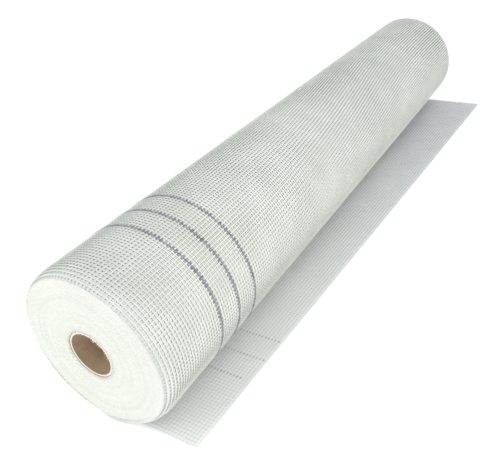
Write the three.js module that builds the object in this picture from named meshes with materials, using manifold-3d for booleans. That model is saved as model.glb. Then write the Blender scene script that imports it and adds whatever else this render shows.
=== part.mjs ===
// Roll of fiberglass mesh, lying on its side, with its loose end drawn out flat.
// Millimetres. +Y runs along the roll, +Z is up and +X is the side of the loose end.
// The origin lies on the floor, straight under the roll's axis.

import * as THREE from "three";
import { mergeVertices } from "three/addons/utils/BufferGeometryUtils.js";
import Module from "manifold-3d";

// Mesh web
const WEB_WIDTH = 1000; // selvedge to selvedge
const WEB_THICKNESS = 0.8;
const ROLL_RADIUS = 97;
const TURN_WANDER = 12; // the inner turns stand this much proud of the outer turn's near edge

// Ends of the wound web
const TURN_BANDS = 7; // groups of turns that read as rings on an end
const TURN_RELIEF = 1.2; // depth of the dip between two groups
const RIM_RISE = 9; // rounded rim, across the roll
const RIM_RUN = 20; // rounded rim, along the roll
const RIM_STEPS = 5;

// Cardboard core
const CORE_BORE_RADIUS = 25.4;
const CORE_WALL = 3.5;
const CORE_FIT_GAP = 0.3; // between the core and the first turn
const CORE_INSET = 1; // each end of the core sits this far inside the wound web

// Loose end, flat on the floor, with its free edge cut askew
const LOOSE_REACH_NEAR = 103; // from the roll's axis to the free edge
const LOOSE_REACH_FAR = 163;

// Number of flats that stand for a round surface
const ROUND_SIDES = 72;

const coreRadius = CORE_BORE_RADIUS + CORE_WALL;
const woundBoreRadius = coreRadius + CORE_FIT_GAP;
const nearFace = -WEB_WIDTH / 2 - TURN_WANDER;
const farFace = WEB_WIDTH / 2;

// A flat of the turned solid, and not an edge, faces the floor
const flatAngle = (2 * Math.PI) / ROUND_SIDES;
const halfFlatWidth = ROLL_RADIUS * Math.tan(flatAngle / 2);

// Turns a closed profile of [radius, y] points about the Y axis and lifts it to the roll's axis
function turned(profile) {
  const cornerScale = 1 / Math.cos(flatAngle / 2);
  const points = profile.map(([radius, y]) => new THREE.Vector2(radius * cornerScale, y));
  points.push(points[0].clone());
  const geometry = new THREE.LatheGeometry(points, ROUND_SIDES, flatAngle / 2);
  geometry.translate(0, 0, ROLL_RADIUS);
  return geometry;
}

// One end of the wound web, from its bore out to the roll's outside.
// outward is -1 at the near end and 1 at the far end.
function woundEnd(face, outward) {
  const rimStart = ROLL_RADIUS - RIM_RISE;
  const bandWidth = (rimStart - woundBoreRadius) / TURN_BANDS;
  const points = [];
  for (let band = 0; band < TURN_BANDS; band += 1) {
    const inner = woundBoreRadius + band * bandWidth;
    points.push([inner, face - outward * TURN_RELIEF]);
    points.push([inner + bandWidth / 2, face]);
  }
  points.push([rimStart, face - outward * TURN_RELIEF]);
  for (let step = 1; step <= RIM_STEPS; step += 1) {
    const angle = ((step / RIM_STEPS) * Math.PI) / 2;
    const radius = rimStart + RIM_RISE * Math.sin(angle);
    const run = TURN_RELIEF + (RIM_RUN - TURN_RELIEF) * (1 - Math.cos(angle));
    points.push([radius, face - outward * run]);
  }
  return points;
}

function woundWeb() {
  const nearEnd = woundEnd(nearFace, -1);
  const farEnd = woundEnd(farFace, 1).reverse();
  return turned([...nearEnd, ...farEnd]);
}

// The web from under the roll's lowest flat out to the free edge
function looseEnd() {
  const outline = new THREE.Shape([
    new THREE.Vector2(-halfFlatWidth, -WEB_WIDTH / 2),
    new THREE.Vector2(LOOSE_REACH_NEAR, -WEB_WIDTH / 2),
    new THREE.Vector2(LOOSE_REACH_FAR, WEB_WIDTH / 2),
    new THREE.Vector2(-halfFlatWidth, WEB_WIDTH / 2),
  ]);
  return new THREE.ExtrudeGeometry(outline, { depth: WEB_THICKNESS, bevelEnabled: false });
}

function coreTube() {
  const nearEnd = nearFace + CORE_INSET;
  const farEnd = farFace - CORE_INSET;
  return turned([
    [CORE_BORE_RADIUS, nearEnd],
    [coreRadius, nearEnd],
    [coreRadius, farEnd],
    [CORE_BORE_RADIUS, farEnd],
  ]);
}

// Joins closed geometries that overlap into one closed geometry
async function joined(geometries) {
  const wasm = await Module();
  wasm.setup();
  const solids = geometries.map((geometry) => {
    const bare = geometry.clone();
    bare.deleteAttribute("normal");
    bare.deleteAttribute("uv");
    const merged = mergeVertices(bare);
    const vertProperties = new Float32Array(merged.getAttribute("position").array);
    const triVerts = new Uint32Array(merged.getIndex().array);
    return new wasm.Manifold(new wasm.Mesh({ numProp: 3, vertProperties, triVerts }));
  });
  const result = solids.reduce((sum, solid) => sum.add(solid)).getMesh();
  const geometry = new THREE.BufferGeometry();
  geometry.setAttribute("position", new THREE.BufferAttribute(result.vertProperties, 3));
  geometry.setIndex(new THREE.BufferAttribute(result.triVerts, 1));
  geometry.computeVertexNormals();
  return geometry;
}

const fiberglass = new THREE.MeshStandardMaterial({ color: 0xdfe4dd, roughness: 0.6, metalness: 0 });
const cardboard = new THREE.MeshStandardMaterial({ color: 0xa08468, roughness: 0.9, metalness: 0 });

const meshRoll = new THREE.Mesh(await joined([woundWeb(), looseEnd()]), fiberglass);
meshRoll.name = "mesh_roll";

const cardboardCore = new THREE.Mesh(coreTube(), cardboard);
cardboardCore.name = "cardboard_core";

const roll = new THREE.Group();
roll.add(meshRoll, cardboardCore);

export default roll;
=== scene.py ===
import math

import bmesh
import bpy
from mathutils import Matrix, Vector, noise


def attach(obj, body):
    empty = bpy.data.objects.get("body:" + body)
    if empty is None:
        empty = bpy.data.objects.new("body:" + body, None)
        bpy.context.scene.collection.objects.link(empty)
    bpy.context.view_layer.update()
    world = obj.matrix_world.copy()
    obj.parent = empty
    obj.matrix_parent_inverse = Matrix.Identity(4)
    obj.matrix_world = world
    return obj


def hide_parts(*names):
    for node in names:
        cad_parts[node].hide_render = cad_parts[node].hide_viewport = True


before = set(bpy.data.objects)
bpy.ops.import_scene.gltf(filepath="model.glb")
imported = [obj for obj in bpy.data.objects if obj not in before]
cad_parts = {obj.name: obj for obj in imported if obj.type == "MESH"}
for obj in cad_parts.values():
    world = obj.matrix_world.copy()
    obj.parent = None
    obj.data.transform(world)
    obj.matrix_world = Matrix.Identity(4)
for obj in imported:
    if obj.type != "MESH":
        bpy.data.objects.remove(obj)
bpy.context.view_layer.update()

# Sizes in metres, as in the CAD
ROLL_RADIUS = 0.097
AXIS_HEIGHT = ROLL_RADIUS
NEAR_FACE = -0.512
FAR_FACE = 0.500
WEB_NEAR = -0.500
WEB_FAR = 0.500
RIM_RISE = 0.009
RIM_RUN = 0.020
WOUND_BORE = 0.0292
CORE_OUTSIDE = 0.0289
CORE_BORE = 0.0254
CORE_INSET = 0.001
OUTER_EDGE = NEAR_FACE + 0.0012  # where the outer turns start on the near rim
TURN_BANDS = 7
SEAM_PITCH = 0.085

# The weave
WARP_COUNT = 240
WARP_PITCH = 1.0 / WARP_COUNT
WEFTS_ROUND = 126
WARP_WIDTH = 0.0018
WEFT_WIDTH = 0.0017
RIM_WARPS = 3
MARKERS = tuple(WEB_NEAR + (warp + 0.5) * WARP_PITCH for warp in (19, 27, 35))
LOOSE_MARKERS = tuple(WEB_NEAR + (warp + 0.5) * WARP_PITCH for warp in (22, 30, 38))

# A marker is a pair of fine yarns, drawn in finer steps than the weave
MARKER_WIDTH = 0.0007
MARKER_THICK = 0.0005
MARKER_APART = 0.0005
MARKER_STEPS = 2 * WEFTS_ROUND

# The loose end
REACH_NEAR = 0.103
REACH_FAR = 0.163
CELL_NEAR = 0.0044
CELL_FAR = 0.0054
LOOSE_CELLS = 26
LOOSE_START = -0.45  # in cells: how far the warps stand out past the first weft

# Yarn ends
TIP_RINGS = 34
TIP_PITCH = 0.005
FRINGE_FINGERS = 50
FRINGE_TEETH = 64

# Which of the wound turns' materials a face takes
DRUM = 0
END_FACE = 1
RIM = 2

FULL_TURN = 2 * math.pi
MERGE_DISTANCE = 0.000001


# Working by hand: selecting, editing and settling a piece

def put_all_down():
    if bpy.context.mode != "OBJECT":
        bpy.ops.object.mode_set(mode="OBJECT")
    bpy.ops.object.select_all(action="DESELECT")


def take_up(piece):
    put_all_down()
    piece.select_set(True)
    bpy.context.view_layer.objects.active = piece


def work_on(piece):
    take_up(piece)
    bpy.ops.object.mode_set(mode="EDIT")


def named_piece(name):
    piece = bpy.context.object
    piece.name = name
    piece.data.name = name
    return piece


def settle(piece):
    take_up(piece)
    bpy.ops.object.transform_apply(location=True, rotation=True, scale=True)


def turn_outwards(piece):
    work_on(piece)
    bpy.ops.mesh.select_all(action="SELECT")
    bpy.ops.mesh.remove_doubles(threshold=MERGE_DISTANCE)
    bpy.ops.mesh.normals_make_consistent(inside=False)
    put_all_down()


def smooth(piece, angle):
    take_up(piece)
    bpy.ops.object.shade_smooth_by_angle(angle=angle)
    put_all_down()


def apply_all(piece):
    take_up(piece)
    for modifier in list(piece.modifiers):
        bpy.ops.object.modifier_apply(modifier=modifier.name)


def repeat(piece, count, step):
    array = piece.modifiers.new("repeat", "ARRAY")
    array.use_relative_offset = False
    array.use_constant_offset = True
    array.constant_offset_displace = step
    array.count = count
    apply_all(piece)


def join(name, parts):
    put_all_down()
    for part in parts:
        part.select_set(True)
    bpy.context.view_layer.objects.active = parts[0]
    if len(parts) > 1:
        bpy.ops.object.join()
    return named_piece(name)


# Places every point of a piece again, from its angle round the roll, its place along it
# and its radius. Where the roll lies on the floor, it is pressed flat.
def place_round(piece, rule):
    for vertex in piece.data.vertices:
        x, y, z = vertex.co
        angle = math.atan2(z - AXIS_HEIGHT, x)
        radius = math.hypot(x, z - AXIS_HEIGHT)
        angle, y, radius = rule(angle, y, radius)
        vertex.co = (radius * math.cos(angle), y, max(0.0, AXIS_HEIGHT + radius * math.sin(angle)))
    piece.data.update()


def round_noise(angle, y, scale, seed):
    across = math.cos(angle) * scale + seed
    up = math.sin(angle) * scale - seed
    return noise.noise(Vector((across, y * 6.0 * scale, up)))


# Radius of the wound web's outside at a place along the roll: a soft near rim and a crisp
# far one. Each rim has its edge, its side, its rise and its run.
RIMS = (
    (OUTER_EDGE, 1, RIM_RISE, RIM_RUN - 0.0012),
    (FAR_FACE - 0.0005, -1, 0.0020, 0.0035),
)


def outside_radius(y):
    for edge, side, rise, run in RIMS:
        depth = (y - edge) * side
        if depth < run:
            lean = 1 - max(depth, 0.0) / run
            return ROLL_RADIUS - rise + rise * math.sqrt(max(0.0, 1 - lean * lean))
    return ROLL_RADIUS


# The wefts drift round the roll from its near end to its far end, as on the loose end
def weft_drift(y):
    return 0.0359 * (math.erf((y - 0.04) / 0.27) + 1) - 0.008 * (y + 0.5)


# What both turns share of it, with a slow waver
def shared_drift(angle, y):
    return weft_drift(y) + 0.0004 * round_noise(angle, y, 0.8, 3.1)


# How the outer turn wanders from a true grid: the same rule for its warps and wefts
def outer_wander(angle, y, radius):
    sideways = shared_drift(angle, y) + 0.00015 * round_noise(angle, y, 3.5, 8.2)
    along = 0.0006 * round_noise(angle, y, 1.0, 11.7) + 0.0002 * round_noise(angle, y, 4.0, 5.5)
    lift = -0.00012 + 0.00012 * round_noise(angle, y, 1.6, 17.0)
    return angle + sideways / ROLL_RADIUS, y + along, radius + lift


# The second turn shows through the outer one's cells at the near end and lies in step
# with its wefts at the far end
def second_wander(angle, y, radius):
    half_cell = math.pi / WEFTS_ROUND
    apart = min(1.0, max(0.0, (0.12 - y) / 0.35))
    sideways = shared_drift(angle, y) + 0.0003 * round_noise(angle, y, 1.0, 23.0)
    along = 0.0008 * round_noise(angle, y, 0.9, 31.0)
    moved = y + along + 0.4 * WARP_PITCH
    settled = radius + outside_radius(moved) - outside_radius(y)
    return angle + sideways / ROLL_RADIUS + half_cell * apart, moved, settled


# Materials

def new_material(name):
    material = bpy.data.materials.new(name)
    material.use_nodes = True
    nodes = material.node_tree.nodes
    nodes.clear()
    out = nodes.new("ShaderNodeOutputMaterial")
    shader = nodes.new("ShaderNodeBsdfPrincipled")
    material.node_tree.links.new(shader.outputs[0], out.inputs[0])
    return material, shader


class Bench:
    """Lays out the nodes of one material."""

    def __init__(self, material):
        self.tree = material.node_tree

    def node(self, kind, **settings):
        node = self.tree.nodes.new(kind)
        for name, value in settings.items():
            setattr(node, name, value)
        return node

    def join(self, source, target):
        self.tree.links.new(source, target)

    def feed(self, socket, value):
        if hasattr(value, "links"):
            self.join(value, socket)
        else:
            socket.default_value = value

    def place(self):
        return self.node("ShaderNodeTexCoord").outputs["Object"]

    def maths(self, operation, first, second=0.0):
        node = self.node("ShaderNodeMath", operation=operation)
        self.feed(node.inputs[0], first)
        self.feed(node.inputs[1], second)
        return node.outputs[0]

    # Two values added, each times its own share
    def blend_of(self, first, first_share, second, second_share):
        return self.maths("ADD", self.maths("MULTIPLY", first, first_share),
                          self.maths("MULTIPLY", second, second_share))

    def noise(self, vector, scale, detail=3.0, roughness=0.55):
        node = self.node("ShaderNodeTexNoise")
        self.join(vector, node.inputs["Vector"])
        node.inputs["Scale"].default_value = scale
        node.inputs["Detail"].default_value = detail
        node.inputs["Roughness"].default_value = roughness
        return node.outputs["Fac"]

    def stretched(self, vector, scale):
        node = self.node("ShaderNodeMapping")
        self.join(vector, node.inputs["Vector"])
        node.inputs["Scale"].default_value = scale
        return node.outputs[0]

    def mix(self, amount, first, second):
        node = self.node("ShaderNodeMix", data_type="RGBA")
        self.feed(node.inputs[0], amount)
        self.feed(node.inputs[6], first)
        self.feed(node.inputs[7], second)
        return node.outputs[2]

    def between(self, value, low, high, to_low=0.0, to_high=1.0):
        node = self.node("ShaderNodeMapRange", interpolation_type="SMOOTHSTEP")
        self.feed(node.inputs[0], value)
        for index, number in enumerate((low, high, to_low, to_high)):
            self.feed(node.inputs[index + 1], number)
        return node.outputs[0]

    def bump(self, height, strength, distance):
        node = self.node("ShaderNodeBump")
        node.inputs["Strength"].default_value = strength
        node.inputs["Distance"].default_value = distance
        self.join(height, node.inputs["Height"])
        return node.outputs[0]

    # 0 at the web's near edge and 1 at its far edge
    def far_part(self, place):
        parts = self.node("ShaderNodeSeparateXYZ")
        self.join(place, parts.inputs[0])
        return self.between(parts.outputs[1], -0.55, 0.45)

    # Radius, angle and length along the roll, from a point on it
    def round_the_roll(self, place):
        parts = self.node("ShaderNodeSeparateXYZ")
        self.join(place, parts.inputs[0])
        x, y, z = parts.outputs
        up = self.maths("SUBTRACT", z, AXIS_HEIGHT)
        squares = self.maths("ADD", self.maths("MULTIPLY", x, x), self.maths("MULTIPLY", up, up))
        radius = self.maths("SQRT", squares)
        angle = self.maths("ARCTAN2", up, x)
        return radius, angle, y


# Coated glass yarn: a bundle of fine filaments under a thin matte coat.
# far gives its two tones at the web's far edge, where they differ.
def yarn_material(name, light, shade, roughness=0.5, far=None):
    material, shader = new_material(name)
    bench = Bench(material)
    place = bench.place()
    patches = bench.noise(place, 22.0, 4.0)
    filaments = bench.noise(place, 1900.0, 2.0)
    tone = bench.blend_of(patches, 0.6, filaments, 0.4)
    tone = bench.between(tone, 0.3, 0.7)
    colour = bench.mix(tone, shade, light)
    if far:
        colour = bench.mix(bench.far_part(place), colour, bench.mix(tone, far[1], far[0]))
    bench.join(colour, shader.inputs["Base Color"])
    wear = bench.between(filaments, 0.2, 0.8, roughness - 0.1, roughness + 0.15)
    bench.join(wear, shader.inputs["Roughness"])
    bench.join(bench.bump(filaments, 0.5, 0.0002), shader.inputs["Normal"])
    shader.inputs["Specular IOR Level"].default_value = 0.35
    shader.inputs["Sheen Weight"].default_value = 0.15
    return material


# The turns below the outer two, seen only through their cells, in painted shade: the same pale
# yarn given dark tones, darkest in its gaps, with their tones at the near and at the far end
def deep_turns_material(name, near_painted_shade, far):
    material, shader = new_material(name)
    bench = Bench(material)
    place = bench.place()
    _, angle, along = bench.round_the_roll(place)
    wander = bench.noise(place, 9.0, 2.0)
    drift = bench.between(along, -0.36, 0.44, 0.0, 0.068 / ROLL_RADIUS)
    warps = bench.maths("DIVIDE", along, WARP_PITCH)
    warps = bench.maths("ADD", warps, bench.maths("MULTIPLY", wander, 1.2))
    wefts = bench.maths("MULTIPLY", bench.maths("SUBTRACT", angle, drift), WEFTS_ROUND / FULL_TURN)
    wefts = bench.maths("ADD", wefts, bench.maths("MULTIPLY", wander, 0.6))
    warp_ridge = bench.between(bench.maths("PINGPONG", warps, 0.5), 0.22, 0.4)
    weft_ridge = bench.between(bench.maths("PINGPONG", wefts, 0.5), 0.2, 0.38)
    ridge = bench.maths("MAXIMUM", warp_ridge, weft_ridge)
    speckle = bench.noise(place, 700.0, 2.0)
    tone = bench.maths("MULTIPLY", ridge, bench.between(speckle, 0.2, 0.8, 0.7, 1.0))
    # Painted shade: the gaps darkest and the yarns dark too, with separate near and far tones
    colour = bench.mix(bench.far_part(place), bench.mix(tone, *near_painted_shade), bench.mix(tone, *far))
    bench.join(colour, shader.inputs["Base Color"])
    bench.join(bench.bump(ridge, 0.8, 0.0006), shader.inputs["Normal"])
    shader.inputs["Roughness"].default_value = 0.7
    shader.inputs["Specular IOR Level"].default_value = 0.25
    return material


# The cut edges of about a hundred turns, side by side
def turn_edges_material():
    material, shader = new_material("turn edges")
    bench = Bench(material)
    place = bench.place()
    radius, angle, _ = bench.round_the_roll(place)
    drift = bench.noise(place, 14.0, 3.0)
    turns = bench.blend_of(radius, 1800.0, drift, 2.2)
    turns = bench.maths("ADD", turns, bench.maths("DIVIDE", angle, FULL_TURN))
    lines = bench.maths("PINGPONG", turns, 0.5)
    grain = bench.noise(place, 1100.0, 3.0)
    band_axis = bench.node("ShaderNodeCombineXYZ")
    bench.join(radius, band_axis.inputs[0])
    bands = bench.noise(band_axis.outputs[0], 150.0, 3.0)
    height = bench.blend_of(lines, 0.8, grain, 0.7)
    tone = bench.blend_of(bands, 0.7, grain, 0.3)
    colour = bench.mix(bench.between(tone, 0.3, 0.7), (0.78, 0.79, 0.715, 1), (0.88, 0.88, 0.82, 1))
    bench.join(colour, shader.inputs["Base Color"])
    bench.join(bench.bump(height, 0.35, 0.0004), shader.inputs["Normal"])
    shader.inputs["Roughness"].default_value = 0.75
    shader.inputs["Specular IOR Level"].default_value = 0.2
    return material


# Dark yarn, worn pale in places
def marker_material(name, dark, worn):
    material, shader = new_material(name)
    bench = Bench(material)
    place = bench.place()
    speckle = bench.noise(place, 330.0, 3.0, 0.7)
    wear = bench.noise(place, 60.0, 3.0)
    tone = bench.blend_of(speckle, 0.7, wear, 0.3)
    colour = bench.mix(bench.between(tone, 0.40, 0.64), dark, worn)
    bench.join(colour, shader.inputs["Base Color"])
    bench.join(bench.bump(speckle, 0.5, 0.0002), shader.inputs["Normal"])
    shader.inputs["Roughness"].default_value = 0.6
    return material


# Spirally wound brown paperboard, with the seams of its plies
def paperboard_material():
    material, shader = new_material("brown paperboard")
    bench = Bench(material)
    place = bench.place()
    radius, angle, along = bench.round_the_roll(place)
    turns = bench.maths("DIVIDE", angle, FULL_TURN)
    spiral = bench.maths("ADD", bench.maths("DIVIDE", along, SEAM_PITCH), turns)
    seam = bench.between(bench.maths("PINGPONG", spiral, 0.5), 0.0, 0.012, 1.0, 0.0)
    fibres = bench.noise(bench.stretched(place, (1.0, 0.25, 1.0)), 900.0, 4.0, 0.7)
    mottle = bench.noise(place, 75.0, 5.0, 0.6)
    tone = bench.blend_of(fibres, 0.5, mottle, 0.5)
    shade = bench.between(tone, 0.25, 0.75)
    board = bench.mix(shade, (0.48, 0.335, 0.21, 1), (0.68, 0.53, 0.38, 1))
    from_middle = bench.maths("ABSOLUTE", bench.maths("ADD", along, 0.006))
    inward = bench.maths("SUBTRACT", FAR_FACE + 0.006, from_middle)
    board = bench.mix(bench.between(inward, 0.0, 0.018, 0.5, 0.0), board, (0.22, 0.145, 0.085, 1))
    colour = bench.mix(seam, board, (0.24, 0.12, 0.08, 1))
    plies = bench.maths("PINGPONG", bench.maths("MULTIPLY", radius, 1400.0), 0.5)
    plies = bench.maths("MULTIPLY", bench.between(plies, 0.0, 0.5), tone)
    cut = bench.mix(plies, (0.80, 0.76, 0.62, 1), (0.93, 0.91, 0.82, 1))
    inside = bench.between(radius, CORE_BORE + 0.0004, CORE_BORE + 0.0007)
    within = bench.between(radius, CORE_OUTSIDE - 0.0012, CORE_OUTSIDE - 0.0009, 1.0, 0.0)
    colour = bench.mix(bench.maths("MULTIPLY", inside, within), colour, cut)
    height = bench.maths("SUBTRACT", tone, bench.maths("MULTIPLY", seam, 0.8))
    bench.join(colour, shader.inputs["Base Color"])
    bench.join(bench.bump(height, 0.5, 0.0004), shader.inputs["Normal"])
    shader.inputs["Roughness"].default_value = 0.85
    shader.inputs["Specular IOR Level"].default_value = 0.2
    return material


# A pale floor with a painted contact shadow: its colour darkens and its glow dims close under the
# roll and the loose end, more so at the far end
def floor_material():
    material, shader = new_material("pale floor")
    bench = Bench(material)
    place = bench.place()
    cloud = bench.noise(place, 1.5, 2.0)
    paper = bench.mix(cloud, (0.93, 0.93, 0.93, 1), (0.96, 0.96, 0.96, 1))
    # Painted contact shadow: occlusion within 6 mm marks where the floor is painted dark
    painted_contact_shadow = bench.node("ShaderNodeAmbientOcclusion", samples=8)
    painted_contact_shadow.inputs["Distance"].default_value = 0.006
    outside_painted_shadow = bench.maths("POWER", painted_contact_shadow.outputs["AO"], 1.4)
    # The painted shadow's tone, darker towards the far end
    dark = bench.mix(bench.far_part(place), (0.57, 0.58, 0.56, 1), (0.01, 0.012, 0.012, 1))
    bench.join(bench.mix(outside_painted_shadow, dark, paper), shader.inputs["Base Color"])
    glow = bench.mix(outside_painted_shadow, (0.12, 0.12, 0.11, 1), (1, 1, 1, 1))
    bench.join(glow, shader.inputs["Emission Color"])
    shader.inputs["Emission Strength"].default_value = 0.3
    shader.inputs["Roughness"].default_value = 0.9
    shader.inputs["Specular IOR Level"].default_value = 0.0
    return material


OUTER_YARN = yarn_material(
    "coated outer yarn", light=(0.82, 0.835, 0.775, 1), shade=(0.71, 0.73, 0.665, 1),
    far=((0.90, 0.915, 0.86, 1), (0.80, 0.82, 0.76, 1)))
UNDER_YARN = yarn_material(
    "coated under yarn", light=(0.80, 0.82, 0.755, 1), shade=(0.68, 0.705, 0.64, 1), roughness=0.6)
# The loose end's yarn is the same as the roll's. Its brighter tones are painted light, and its
# darker, bluer tones towards the far end are painted shade
LOOSE_YARN_LIT_AND_SHADED = yarn_material(
    "coated loose yarn with painted light and shade", light=(0.97, 0.97, 0.95, 1), shade=(0.91, 0.915, 0.89, 1),
    far=((0.80, 0.82, 0.83, 1), (0.70, 0.72, 0.735, 1)))
EDGE_YARN = yarn_material(
    "cut yarn ends", light=(0.92, 0.92, 0.86, 1), shade=(0.84, 0.84, 0.77, 1), roughness=0.6)
# The turns under the outer two, on the drum and on the rim, in painted shade
DEEP_TURNS_IN_PAINTED_SHADE = deep_turns_material(
    "deep turns in painted shade", near_painted_shade=((0.30, 0.33, 0.29, 1), (0.52, 0.55, 0.50, 1)),
    far=((0.13, 0.145, 0.13, 1), (0.30, 0.32, 0.29, 1)))
RIM_TURNS_IN_PAINTED_SHADE = deep_turns_material(
    "rim turns in painted shade", near_painted_shade=((0.42, 0.45, 0.41, 1), (0.64, 0.67, 0.62, 1)),
    far=((0.40, 0.43, 0.39, 1), (0.60, 0.62, 0.58, 1)))
TURN_EDGES = turn_edges_material()
MARKER_YARN = marker_material(
    "marker yarn", dark=(0.19, 0.18, 0.205, 1), worn=(0.60, 0.59, 0.62, 1))
UNDER_MARKER = marker_material(
    "under marker yarn", dark=(0.22, 0.215, 0.235, 1), worn=(0.62, 0.61, 0.635, 1))
PAPERBOARD = paperboard_material()


def dress(piece, *materials):
    piece.data.materials.clear()
    for material in materials:
        piece.data.materials.append(material)


def part_of_web(piece):
    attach(piece, "root")
    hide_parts("mesh_roll")


# A yarn's cross-section, drawn out along stations and then turned or repeated

def yarn_section(name, sides, middle, across, thick, rotation):
    put_all_down()
    bpy.ops.mesh.primitive_circle_add(vertices=sides, radius=0.5, location=middle,
                                      rotation=rotation)
    piece = named_piece(name)
    piece.scale = (across, thick, 1)
    settle(piece)
    return piece


# A ring of yarn round the roll
def yarn_ring(name, y, radius, width, thick, steps):
    piece = yarn_section(name, 3, (radius, y, AXIS_HEIGHT), thick, width, (0, 0, 0))
    work_on(piece)
    bpy.ops.mesh.select_all(action="SELECT")
    bpy.ops.mesh.spin(steps=steps, angle=FULL_TURN, center=(0, y, AXIS_HEIGHT), axis=(0, 1, 0))
    turn_outwards(piece)
    return piece


def fill(piece):
    work_on(piece)
    bpy.ops.mesh.select_all(action="SELECT")
    bpy.ops.mesh.edge_face_add()
    bpy.ops.mesh.select_all(action="SELECT")


# A yarn drawn through a list of points, starting at the first
def drawn_yarn(piece, points):
    fill(piece)
    last = Vector(points[0])
    for point in points[1:]:
        step = Vector(point) - last
        bpy.ops.mesh.extrude_region_move(TRANSFORM_OT_translate={"value": step})
        last = Vector(point)
    put_all_down()


# Even copies all round the roll
def copies_round(piece, count):
    work_on(piece)
    bpy.ops.mesh.select_all(action="SELECT")
    bpy.ops.mesh.spin(steps=count - 1, dupli=True, angle=FULL_TURN * (count - 1) / count,
                      center=(0, 0, AXIS_HEIGHT), axis=(0, 1, 0))
    turn_outwards(piece)


# The wound turns under the outer two: a drum, and both ends with the edges of the turns

def end_profile(face, outward, rise, run):
    points = []
    count = 96
    flat_reach = ROLL_RADIUS - rise
    for index in range(count + 1):
        radius = WOUND_BORE + (flat_reach - WOUND_BORE) * index / count
        band = 0.5 - 0.5 * math.cos(FULL_TURN * TURN_BANDS * index / count)
        swell = 0.0006 * (1 - band)
        ridge = 0.00028 * (index % 2)
        stray = 0.0005 * noise.noise(Vector((index * 0.37, outward * 4.0, 1.5)))
        points.append((radius, face - outward * (0.0003 + swell * 0.7 + ridge + abs(stray))))
    rim_steps = 8
    for step in range(1, rim_steps + 1):
        angle = step / rim_steps * math.pi / 2
        radius = flat_reach + (rise - 0.0019) * math.sin(angle)
        points.append((radius, face - outward * (0.0020 + run * (1 - math.cos(angle)))))
    return points


def wound_turns():
    near_end = end_profile(NEAR_FACE, -1, RIM_RISE, 0.019)
    far_end = end_profile(FAR_FACE, 1, 0.0040, 0.004)
    outline = near_end + list(reversed(far_end))
    put_all_down()
    bpy.ops.mesh.primitive_plane_add(size=0.001, location=(0, 0, 0))
    piece = named_piece("wound_turns")
    settle(piece)
    work_on(piece)
    bpy.ops.mesh.select_all(action="SELECT")
    bpy.ops.mesh.merge(type="CENTER")
    start = (outline[0][0], outline[0][1], AXIS_HEIGHT)
    bpy.ops.transform.translate(value=start)
    bpy.ops.mesh.select_mode(type="VERT")
    bpy.ops.mesh.select_all(action="SELECT")
    last = outline[0]
    for point in outline[1:]:
        bpy.ops.mesh.extrude_region_move(
            TRANSFORM_OT_translate={"value": (point[0] - last[0], point[1] - last[1], 0)})
        last = point
    bpy.ops.mesh.extrude_region_move(
        TRANSFORM_OT_translate={"value": (outline[0][0] - last[0], outline[0][1] - last[1], 0)})
    bpy.ops.mesh.select_all(action="SELECT")
    bpy.ops.mesh.remove_doubles(threshold=MERGE_DISTANCE)
    bpy.ops.mesh.spin(steps=160, angle=FULL_TURN, center=(0, 0, AXIS_HEIGHT), axis=(0, 1, 0))
    turn_outwards(piece)

    def uneven(angle, y, radius):
        on_end = abs(y) > 0.47 and radius > WOUND_BORE + 0.0005
        if on_end:
            stray = 0.0008 * round_noise(angle, radius * 12, 1.0, 40.0)
            y += abs(stray) if y < 0 else -abs(stray)
        return angle, y, radius

    place_round(piece, uneven)
    # The drum and the rim take painted shade; the end face takes the cut edges of the turns
    dress(piece, DEEP_TURNS_IN_PAINTED_SHADE, TURN_EDGES, RIM_TURNS_IN_PAINTED_SHADE)
    for face in piece.data.polygons:
        middle = face.center
        reach = math.hypot(middle.x, middle.z - AXIS_HEIGHT)
        in_bore = reach < WOUND_BORE + 0.0001
        if in_bore or (abs(middle.y) > 0.494 and reach < ROLL_RADIUS - 0.0066):
            face.material_index = END_FACE
        elif abs(middle.y) > 0.491 and reach < ROLL_RADIUS - 0.0020:
            face.material_index = RIM
        else:
            face.material_index = DRUM
    smooth(piece, 0.9)
    part_of_web(piece)


# A turn's warps run round the roll, over and under its wefts, which run along it

def turn_warps(name, material, radius_drop, steps, wander, thick, left_out=()):
    first = WEB_NEAR + WARP_PITCH / 2 - RIM_WARPS * WARP_PITCH
    piece = yarn_ring(name, first, ROLL_RADIUS - radius_drop, WARP_WIDTH, thick, steps)
    repeat(piece, WARP_COUNT + RIM_WARPS, (0, WARP_PITCH, 0))
    cell = FULL_TURN / steps

    def weave(angle, y, radius):
        ring = round((y - first) / WARP_PITCH)
        crossing = round(angle / cell)
        side = 1 if (crossing + ring) % 2 else -1
        radius += outside_radius(y) - ROLL_RADIUS + 0.00012 * side
        return wander(angle, y + 0.00016 * side, radius)

    if left_out:
        pull_out_rings(piece, left_out)
    place_round(piece, weave)
    dress(piece, material)
    smooth(piece, 1.2)
    part_of_web(piece)


# Takes out the rings whose place a marker yarn fills
def pull_out_rings(piece, places):
    work_on(piece)
    bpy.ops.mesh.select_mode(type="VERT")
    bpy.ops.mesh.select_all(action="DESELECT")
    mesh = bmesh.from_edit_mesh(piece.data)
    for point in mesh.verts:
        point.select_set(any(abs(point.co.y - place) < WARP_PITCH / 2 for place in places))
    bmesh.update_edit_mesh(piece.data)
    bpy.ops.mesh.delete(type="VERT")
    put_all_down()


# Where a weft is drawn to: close steps over the near rim, even ones along the roll
def weft_stations():
    stations = []
    rim_steps = 6
    for step in range(1, rim_steps + 1):
        angle = step / rim_steps * math.pi / 2
        stations.append(OUTER_EDGE + 0.0188 * (1 - math.cos(angle)))
    count = 24
    for index in range(1, count + 1):
        stations.append(-0.492 + 0.988 * index / count)
    stations.extend((0.4978, 0.4993))
    return stations


# The wefts lie among the warps near the markers and rise to the surface towards the far end
def weft_rise(y):
    return 0.00042 * min(1.0, max(0.0, (y + 0.15) / 0.35))


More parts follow.
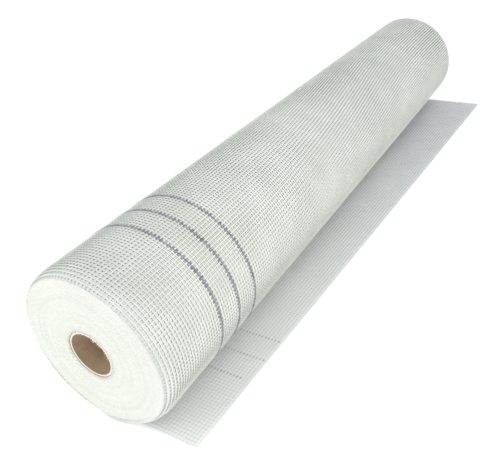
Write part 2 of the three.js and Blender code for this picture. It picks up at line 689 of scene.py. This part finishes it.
def turn_wefts(name, material, radius_drop, wander, thick):
    points = []
    for y in weft_stations():
        points.append((outside_radius(y) - radius_drop + weft_rise(y), y, AXIS_HEIGHT))
    piece = yarn_section(name, 4, points[0], thick, WEFT_WIDTH, (math.pi / 2, 0, 0))
    drawn_yarn(piece, points)
    copies_round(piece, WEFTS_ROUND)
    place_round(piece, wander)
    dress(piece, material)
    smooth(piece, 1.2)
    part_of_web(piece)


# The edges of two turns just under the outer one, which step down over the near rim
def rim_warps():
    rings = []
    for depth in (0.0012, 0.0046):
        y = OUTER_EDGE + depth
        ring_radius = outside_radius(y) - 0.0005
        rings.append(yarn_ring("rim ring", y, ring_radius, 0.0012, 0.0008, WEFTS_ROUND))
    piece = join("rim_warps", rings)
    place_round(piece, outer_wander)
    dress(piece, OUTER_YARN)
    smooth(piece, 1.2)
    part_of_web(piece)


# Dark marker yarns: a twisted pair in the outer turn
def marker_rings():
    rings = []
    for place in MARKERS:
        for side in (-1, 1):
            rings.append(yarn_ring("marker", place + side * MARKER_APART, ROLL_RADIUS - 0.00035,
                                   MARKER_WIDTH, MARKER_THICK, MARKER_STEPS))
    piece = join("marker_yarns", rings)

    def twist(angle, y, radius):
        place = min(MARKERS, key=lambda mark: abs(y - mark))
        side = 1 if y > place else -1
        station = round(angle / (math.pi / WEFTS_ROUND))
        apart = (1, 0, -1, 0)[station % 4]
        over = 0.00012 if station % 2 else -0.0001
        towards_top = 0.5 - 0.5 * math.cos(angle + 0.2)
        beside = side * (0.0007 * apart - MARKER_APART) - 0.0012 * towards_top
        return outer_wander(angle, y + beside, radius + over)

    place_round(piece, twist)
    dress(piece, MARKER_YARN)
    smooth(piece, 1.2)
    part_of_web(piece)


# The marker yarns of the turns below: one beside each marker of the outer turn, further from
# it towards the top of the roll, and four that are buried deeper
def under_markers():
    rings = []
    for place in MARKERS:
        rings.append(yarn_ring("marker", place + 0.0012, ROLL_RADIUS + 0.00002,
                               MARKER_WIDTH, 0.0004, MARKER_STEPS))
        for beside in (-0.0024, -0.0015, 0.0018, 0.0027):
            rings.append(yarn_ring("marker", place + beside, ROLL_RADIUS - 0.00100,
                                   0.0011, 0.0006, MARKER_STEPS))
    piece = join("under_marker_yarns", rings)

    def weave(angle, y, radius):
        place = min(MARKERS, key=lambda mark: abs(y - mark))
        towards_top = 0.5 - 0.5 * math.cos(angle + 0.2)
        crossing = (0, 1, 0, -1)[round(angle / (math.pi / WEFTS_ROUND)) % 4]
        if radius > ROLL_RADIUS - 0.0006:
            beside = 0.0002 * crossing - 0.0052 * towards_top
        else:
            beside = 0.0001 * crossing - 0.0006 * towards_top
        wander = 0.0012 * round_noise(angle, y * 9, 1.2, 47.0)
        return outer_wander(angle, y + beside + wander, radius)

    place_round(piece, weave)
    dress(piece, UNDER_MARKER)
    smooth(piece, 1.2)
    part_of_web(piece)


# The loose end, first drawn on a true grid of cells and then laid out on the floor

# How high it lies above the floor, with slight waves past the roll's underside
def loose_height(x, y):
    wave = noise.noise(Vector((x * 16.0, y * 5.0, 2.0)))
    ripple = noise.noise(Vector((x * 45.0, y * 16.0, 7.0)))
    lift = 0.0016 + 0.0007 * wave + 0.0002 * ripple
    return 0.0008 + lift * min(1.0, max(0.0, (x - 0.01) / 0.04))


# From cells counted along the web to places on the floor; the near corner is the most uneven
def lay_out(piece):
    for vertex in piece.data.vertices:
        cells, y, height = vertex.co
        part = y - WEB_NEAR
        near_x = REACH_NEAR - CELL_NEAR * cells
        far_x = REACH_FAR - CELL_FAR * cells
        x = near_x + (far_x - near_x) * part
        x += 0.0007 * noise.noise(Vector((x * 9.0, y * 7.0, 12.0)))
        corner = max(0.0, 1 - part / 0.16) * max(0.0, 1 - cells / 9.0)
        x += 0.0007 * corner * noise.noise(Vector((cells * 0.5, y * 30.0, 3.0)))
        y += 0.0006 * noise.noise(Vector((x * 8.0, y * 7.0, 19.0)))
        y += 0.0007 * corner * noise.noise(Vector((cells * 0.4, y * 25.0, 9.0)))
        vertex.co = (x, y, loose_height(x, y) + height)
    piece.data.update()


# Each warp is a leno pair: a ground yarn under the wefts, and a doup yarn that crosses it
# and passes over them
def loose_warps():
    y = WEB_NEAR + WARP_PITCH / 2
    turn = (math.pi / 2, 0, math.pi / 2)
    under = -0.00025
    ground = yarn_section("ground yarn", 3, (LOOSE_START, y, under), 0.0012, 0.0005, turn)
    places = [LOOSE_START + step * 2.0 for step in range(LOOSE_CELLS // 2)] + [LOOSE_CELLS - 1]
    drawn_yarn(ground, [(place, y, under) for place in places])
    doup = yarn_section("doup yarn", 3, (LOOSE_START, y, 0.0), 0.0010, 0.0005, turn)
    points = [(LOOSE_START, y, 0.0)]
    for half in range(0, 2 * LOOSE_CELLS - 3):
        if half % 2 == 0:
            side = 0.0002 if half % 4 == 0 else -0.0002
            points.append((half / 2, y + side, 0.00035))
        else:
            points.append((half / 2, y, -0.0001))
    drawn_yarn(doup, points)
    pair = join("loose_warps", [ground, doup])
    turn_outwards(pair)
    repeat(pair, WARP_COUNT, (0, WARP_PITCH, 0))
    return pair


def loose_wefts():
    turn = (math.pi / 2, 0, 0)
    start = WEB_NEAR - 0.0012
    length = WEB_FAR - WEB_NEAR + 0.0024
    weft = yarn_section("loose_wefts", 4, (0, start, 0), 0.38, 0.0005, turn)
    count = 60
    drawn_yarn(weft, [(0, start + length * step / count, 0) for step in range(count + 1)])
    turn_outwards(weft)
    repeat(weft, LOOSE_CELLS - 2, (1, 0, 0))
    return weft


def loose_end():
    piece = join("loose_end", [loose_warps(), loose_wefts()])
    lay_out(piece)
    dress(piece, LOOSE_YARN_LIT_AND_SHADED)
    smooth(piece, 1.2)
    part_of_web(piece)
    return piece


def loose_markers():
    runs = []
    turn = (math.pi / 2, 0, math.pi / 2)
    for place, first in zip(LOOSE_MARKERS, (2, 0, 0)):
        yarn = yarn_section("loose marker", 4, (first, place, 0.0004), 0.0010, 0.0005, turn)
        points = [(first, place, 0.0004)]
        for half in range(2 * first + 1, 2 * LOOSE_CELLS - 8):
            dip = -0.0003 if half % 2 == 0 else 0.0004
            points.append((half / 2, place, dip))
        drawn_yarn(yarn, points)
        turn_outwards(yarn)
        runs.append(yarn)
    piece = join("loose_markers", runs)
    lay_out(piece)
    dress(piece, MARKER_YARN)
    smooth(piece, 1.2)
    part_of_web(piece)


# Moves each yarn end, of size points, a little from its place: round, across and along the roll
def stray(piece, size, key_step, turn_by, spread_by, push_by, push_seed):
    points = piece.data.vertices
    for first in range(0, len(points), size):
        key = first * key_step
        turn = turn_by * noise.noise(Vector((key, 1.0, 2.0)))
        spread = spread_by * noise.noise(Vector((key, 9.0, 4.0)))
        push = push_by * noise.noise(Vector((key, *push_seed)))
        for vertex in points[first:first + size]:
            x, y, z = vertex.co
            angle = math.atan2(z - AXIS_HEIGHT, x) + turn
            radius = math.hypot(x, z - AXIS_HEIGHT) + spread
            up = AXIS_HEIGHT + radius * math.sin(angle)
            vertex.co = (radius * math.cos(angle), y + push, up)
    piece.data.update()


# Cut ends of the wefts, standing out of both ends of the wound web
def yarn_tips(name, face, outward):
    rings = []
    for index in range(TIP_RINGS):
        radius = WOUND_BORE + 0.0012 + 0.0575 * index / (TIP_RINGS - 1)
        put_all_down()
        bpy.ops.mesh.primitive_cone_add(vertices=4, radius1=0.00055, radius2=0.00022, depth=0.0022,
                                        location=(radius, face - outward * 0.0007, AXIS_HEIGHT),
                                        rotation=(-outward * math.pi / 2, 0, 0))
        tip = named_piece("tip")
        settle(tip)
        points_of_tip = len(tip.data.vertices)
        copies_round(tip, int(FULL_TURN * radius / TIP_PITCH))
        rings.append(tip)
    piece = join(name, rings)
    stray(piece, points_of_tip, 0.173, 0.03, 0.0006, 0.0007, (5.0, 2.0))
    dress(piece, EDGE_YARN)
    part_of_web(piece)


# Yarn ends of the innermost turns: fingers that lie in over the core's end, and teeth that
# stand proud of it. A bow gives each step inward, its rise and its taper.

def fringe_finger(face, outward):
    start = (0.0303, face - outward * 0.0005, AXIS_HEIGHT)
    finger = yarn_section("finger", 6, start, 0.0007, 0.0017, (0, math.pi / 2, 0))
    bow = ((-0.0009, 0.0003, 0.95), (-0.0008, 0.0001, 0.8), (-0.0005, -0.0002, 0.5))
    return drawn_out(finger, start, [(inward, outward * rise, size) for inward, rise, size in bow])


def fringe_tooth(face, outward):
    start = (0.0307, face - outward * 0.0010, AXIS_HEIGHT)
    tooth = yarn_section("tooth", 5, start, 0.0011, 0.0009, (math.pi / 2, 0, 0))
    bow = ((0.0, 0.0013, 1.0), (-0.0003, 0.0009, 0.9), (-0.0006, 0.0006, 0.75),
           (-0.0004, 0.0002, 0.5))
    return drawn_out(tooth, start, [(inward, outward * rise, size) for inward, rise, size in bow])


# Fills a section and draws it out step by step, each step with its own taper
def drawn_out(piece, start, steps):
    fill(piece)
    middle = Vector(start)
    for inward, rise, size in steps:
        bpy.ops.mesh.extrude_region_move(TRANSFORM_OT_translate={"value": (inward, rise, 0)})
        middle += Vector((inward, rise, 0))
        bpy.ops.transform.resize(value=(size, size, size), center_override=middle)
    turn_outwards(piece)
    return piece


# Copies a yarn end round the core, each copy a little astray
def strayed_round(piece, count, turn_by, spread_by, push_by):
    copies_round(piece, count)
    size = len(piece.data.vertices) // count
    stray(piece, size, 0.311, turn_by, spread_by, push_by, (3.0, 6.0))
    return piece


def core_fringe(name, face, outward):
    fingers = strayed_round(fringe_finger(face, outward), FRINGE_FINGERS, 0.06, 0.0012, 0.0004)
    teeth = strayed_round(fringe_tooth(face, outward), FRINGE_TEETH, 0.08, 0.0012, 0.0024)
    piece = join(name, [fingers, teeth])
    dress(piece, EDGE_YARN)
    smooth(piece, 1.0)
    part_of_web(piece)


# The cardboard core: a tube with softened lips and a shallow spiral seam
def core_tube():
    near_end = NEAR_FACE + CORE_INSET
    length = FAR_FACE - NEAR_FACE - 2 * CORE_INSET
    put_all_down()
    bpy.ops.mesh.primitive_circle_add(vertices=96, radius=CORE_BORE,
                                      location=(0, near_end, AXIS_HEIGHT),
                                      rotation=(math.pi / 2, 0, 0))
    piece = named_piece("core_tube")
    settle(piece)
    work_on(piece)
    bpy.ops.mesh.select_all(action="SELECT")
    rows = 72
    for _ in range(rows):
        bpy.ops.mesh.extrude_region_move(TRANSFORM_OT_translate={"value": (0, length / rows, 0)})
    bpy.ops.mesh.select_all(action="SELECT")
    bpy.ops.mesh.normals_make_consistent(inside=False)
    put_all_down()

    def seam(angle, y, radius):
        if radius >= CORE_BORE + 0.001:
            return angle, y, radius
        spiral = y / SEAM_PITCH + angle / FULL_TURN
        step = spiral - math.floor(spiral)
        return angle, y, radius + 0.00025 * step

    wall = piece.modifiers.new("wall", "SOLIDIFY")
    wall.thickness = CORE_OUTSIDE - CORE_BORE
    wall.offset = 1
    lips = piece.modifiers.new("lips", "BEVEL")
    lips.width = 0.0005
    lips.segments = 2
    lips.limit_method = "ANGLE"
    lips.angle_limit = 1.0
    apply_all(piece)
    turn_outwards(piece)
    place_round(piece, seam)
    dress(piece, PAPERBOARD)
    smooth(piece, 0.7)
    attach(piece, "root")
    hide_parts("cardboard_core")


def pale_floor():
    put_all_down()
    bpy.ops.mesh.primitive_plane_add(size=40, location=(0, 0, 0))
    piece = named_piece("floor")
    settle(piece)
    dress(piece, floor_material())


# Camera and light

SENSOR_WIDTH = 36


def photo_camera():
    place = Vector((0.4139, -0.7738, 0.5071))
    target = Vector((-0.0131, -0.058, 0.08))
    roll = -0.1005
    back = (place - target).normalized()
    across = Vector((0, 0, 1)).cross(back).normalized()
    upward = back.cross(across)
    right = math.cos(roll) * across + math.sin(roll) * upward
    top = math.cos(roll) * upward - math.sin(roll) * across
    data = bpy.data.cameras.new("photo camera")
    data.sensor_width = SENSOR_WIDTH
    data.lens = SENSOR_WIDTH * 1.1459
    data.shift_x = -0.0853
    data.shift_y = -0.1305
    camera = bpy.data.objects.new("photo camera", data)
    turned = Matrix((right, top, back)).transposed().to_4x4()
    camera.matrix_world = Matrix.Translation(place) @ turned
    bpy.context.collection.objects.link(camera)
    bpy.context.scene.camera = camera


def soft_light(name, place, target, size, power, colour=(1, 1, 1)):
    put_all_down()
    bpy.ops.object.light_add(type="AREA", location=place)
    lamp = bpy.context.object
    lamp.name = name
    lamp.data.shape = "DISK"
    lamp.data.size = size
    lamp.data.energy = power
    lamp.data.color = colour
    aim = Vector(target) - Vector(place)
    lamp.rotation_euler = aim.to_track_quat("-Z", "Y").to_euler()


def studio():
    world = bpy.data.worlds.new("soft studio")
    world.use_nodes = True
    sky = world.node_tree.nodes["Background"]
    sky.inputs["Color"].default_value = (0.93, 0.965, 1.0, 1)
    sky.inputs["Strength"].default_value = 0.93
    bpy.context.scene.world = world
    soft_light("key", (1.0, -0.4, 2.1), target=(0.1, 0, 0.03), size=1.4, power=6,
               colour=(1.0, 0.985, 0.955))
    soft_light("low fill", (1.7, 0.0, 0.3), target=(0.1, 0.0, 0.03), size=1.0, power=5,
               colour=(1.0, 0.985, 0.94))
    soft_light("front", (-1.1, -2.1, 1.6), target=(0, -0.5, 0.08), size=1.6, power=10)
    bpy.context.scene.view_settings.view_transform = "Standard"


photo_camera()
studio()
pale_floor()
wound_turns()
core_tube()
turn_warps("second_turn_warps", UNDER_YARN, 0.0013, WEFTS_ROUND // 2, second_wander, 0.0007)
turn_wefts("second_turn_wefts", UNDER_YARN, 0.0016, second_wander, 0.0005)
turn_wefts("outer_turn_wefts", OUTER_YARN, 0.0007, outer_wander, 0.0005)
turn_warps("outer_turn_warps", OUTER_YARN, 0.00055, WEFTS_ROUND, outer_wander, 0.0007, MARKERS)
rim_warps()
marker_rings()
under_markers()
yarn_tips("near_yarn_tips", NEAR_FACE, -1)
yarn_tips("far_yarn_tips", FAR_FACE, 1)
core_fringe("near_core_fringe", NEAR_FACE, -1)
core_fringe("far_core_fringe", FAR_FACE, 1)
loose = loose_end()
loose_markers()
